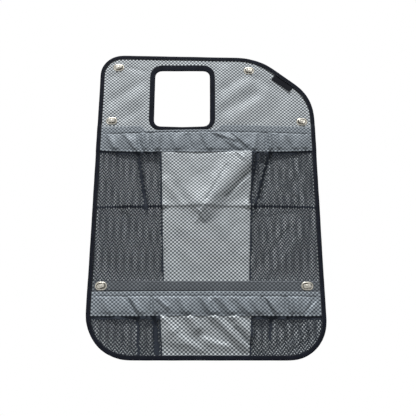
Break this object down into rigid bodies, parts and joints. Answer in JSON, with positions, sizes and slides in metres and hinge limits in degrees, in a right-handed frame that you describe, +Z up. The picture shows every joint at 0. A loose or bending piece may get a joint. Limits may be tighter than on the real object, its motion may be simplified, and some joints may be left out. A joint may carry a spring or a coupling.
{
  "type": "van door storage pouch",
  "caption": "Flat cloth storage pouch for a van door: bound silver panel with a handle window, gathered mesh pockets, and turn-button fasteners that hold it on the door.",
  "frame": {"origin": "middle of the bounding box", "axes": "+Z up as it hangs on the door, +X to the right of someone facing its front, +Y into the door, so the front looks along -Y"},
  "size_m": [0.52, 0.0232, 0.7268],
  "materials": {
    "silver_cloth": "silvery basket-weave cloth, slightly shiny",
    "band_cloth": "bluish grey coated cloth, satin",
    "grey_cloth": "darker grey cloth, satin",
    "net": "black knitted net over silver cloth, matt",
    "black_tape": "navy-black grosgrain binding tape, matt",
    "label_ribbon": "blank black satin ribbon",
    "elastic": "braided white elastic",
    "nickel": "nickel-plated brass, polished and a little warm"
  },
  "bodies": {
    "pouch": {"back_panel": "silver_cloth", "edge_binding_upper": "black_tape", "edge_binding_lower": "black_tape", "window_binding": "black_tape", "label_tag": "label_ribbon", "seam_strip": "grey_cloth", "upper_band": "band_cloth", "upper_elastic": "elastic", "upper_mesh_left": "net", "upper_centre_panel": "silver_cloth", "upper_mesh_right": "net", "lower_band": "band_cloth", "lower_elastic": "elastic", "lower_mesh_left": "net", "lower_centre_panel": "silver_cloth", "lower_mesh_right": "net", "eyelet_top_left": "nickel", "clinch_ring_top_left": "nickel", "button_base_top_left": "nickel", "eyelet_mid_left": "nickel", "clinch_ring_mid_left": "nickel", "button_base_mid_left": "nickel", "eyelet_top_right": "nickel", "clinch_ring_top_right": "nickel", "button_base_top_right": "nickel", "eyelet_mid_right": "nickel", "clinch_ring_mid_right": "nickel", "button_base_mid_right": "nickel", "eyelet_low_left": "nickel", "clinch_ring_low_left": "nickel", "button_base_low_left": "nickel", "eyelet_low_right": "nickel", "clinch_ring_low_right": "nickel", "button_base_low_right": "nickel"},
    "wing_top_left": {"button_wing_top_left": "nickel"},
    "wing_mid_left": {"button_wing_mid_left": "nickel"},
    "wing_top_right": {"button_wing_top_right": "nickel"},
    "wing_mid_right": {"button_wing_mid_right": "nickel"},
    "wing_low_left": {"button_wing_low_left": "nickel"},
    "wing_low_right": {"button_wing_low_right": "nickel"}
  },
  "joints": [
    {"name": "turn_top_left", "type": "hinge", "parent": "pouch", "child": "wing_top_left", "pos_m": [-0.216, 0, 0.32955], "axis": [0, -1, 0], "continuous": true},
    {"name": "turn_mid_left", "type": "hinge", "parent": "pouch", "child": "wing_mid_left", "pos_m": [-0.2265, 0, 0.18655], "axis": [0, -1, 0], "continuous": true},
    {"name": "turn_top_right", "type": "hinge", "parent": "pouch", "child": "wing_top_right", "pos_m": [0.1055, 0, 0.32105], "axis": [0, -1, 0], "continuous": true},
    {"name": "turn_mid_right", "type": "hinge", "parent": "pouch", "child": "wing_mid_right", "pos_m": [0.2295, 0, 0.18405], "axis": [0, -1, 0], "continuous": true},
    {"name": "turn_low_left", "type": "hinge", "parent": "pouch", "child": "wing_low_left", "pos_m": [-0.23, 0, -0.20695], "axis": [0, -1, 0], "continuous": true},
    {"name": "turn_low_right", "type": "hinge", "parent": "pouch", "child": "wing_low_right", "pos_m": [0.222, 0, -0.20695], "axis": [0, -1, 0], "continuous": true}
  ]
}
